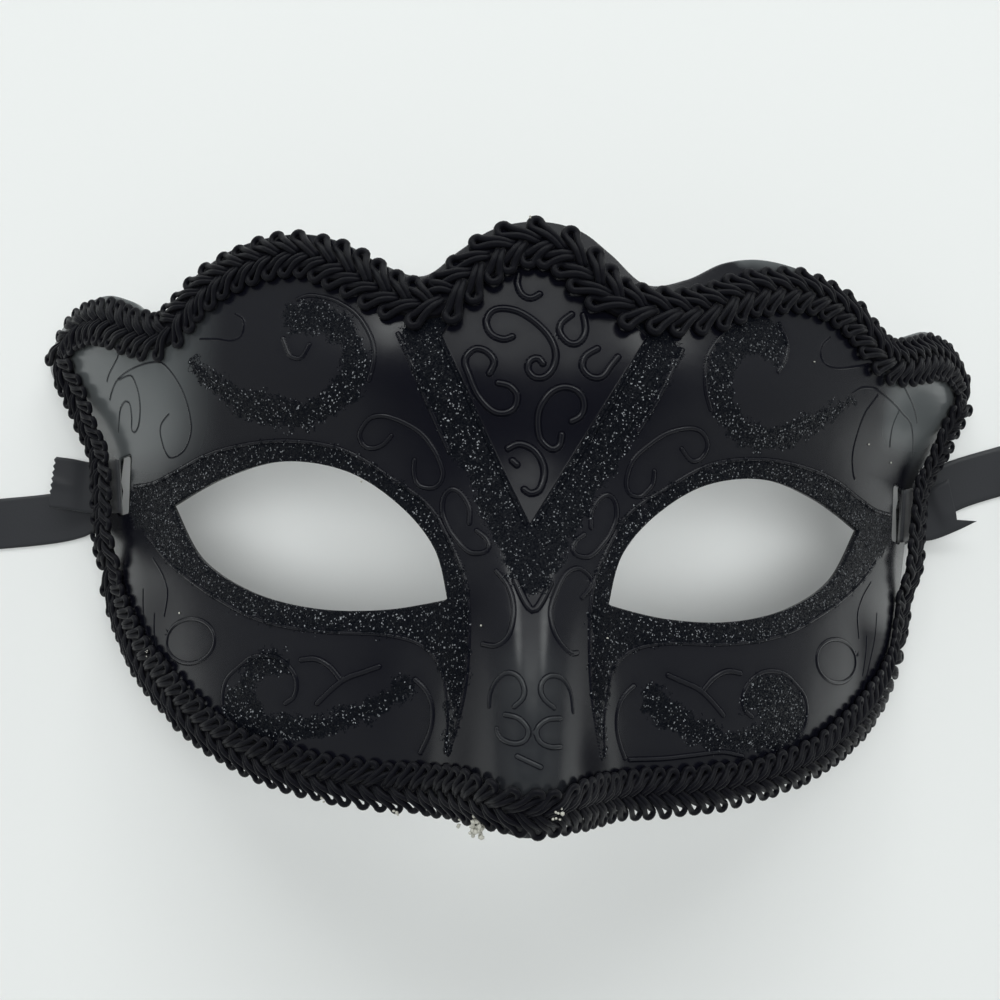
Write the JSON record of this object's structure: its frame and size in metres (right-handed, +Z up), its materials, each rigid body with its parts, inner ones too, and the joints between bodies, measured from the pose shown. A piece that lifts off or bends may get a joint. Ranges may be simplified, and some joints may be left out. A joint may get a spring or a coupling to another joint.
{
  "type": "masquerade mask",
  "caption": "Half-face masquerade mask: thin arched shell with cat-eye holes, sunken forehead panel, gimp braid round the rim and a satin ribbon tied through each side.",
  "frame": {"origin": "on the table under the middle of the lying mask: middle of the whole part's box in X and Y, lowest point of the shell's rim in Z", "axes": "+X to the right of the face seen from the front, +Y to the forehead, +Z up out of the face, away from the table the mask lies on"},
  "size_m": [0.2519, 0.095, 0.0653],
  "materials": {
    "shell_plastic": "thin moulded black plastic, satin gloss, with painted bands of fine silver-blue glitter",
    "braid_cord": "black rayon gimp braid of smooth corded loops",
    "ribbon_satin": "black single-face satin ribbon"
  },
  "bodies": {
    "root": {"mask_shell": "shell_plastic", "gimp_braid": "braid_cord", "ribbon_left": "ribbon_satin", "ribbon_right": "ribbon_satin"}
  },
  "joints": []
}
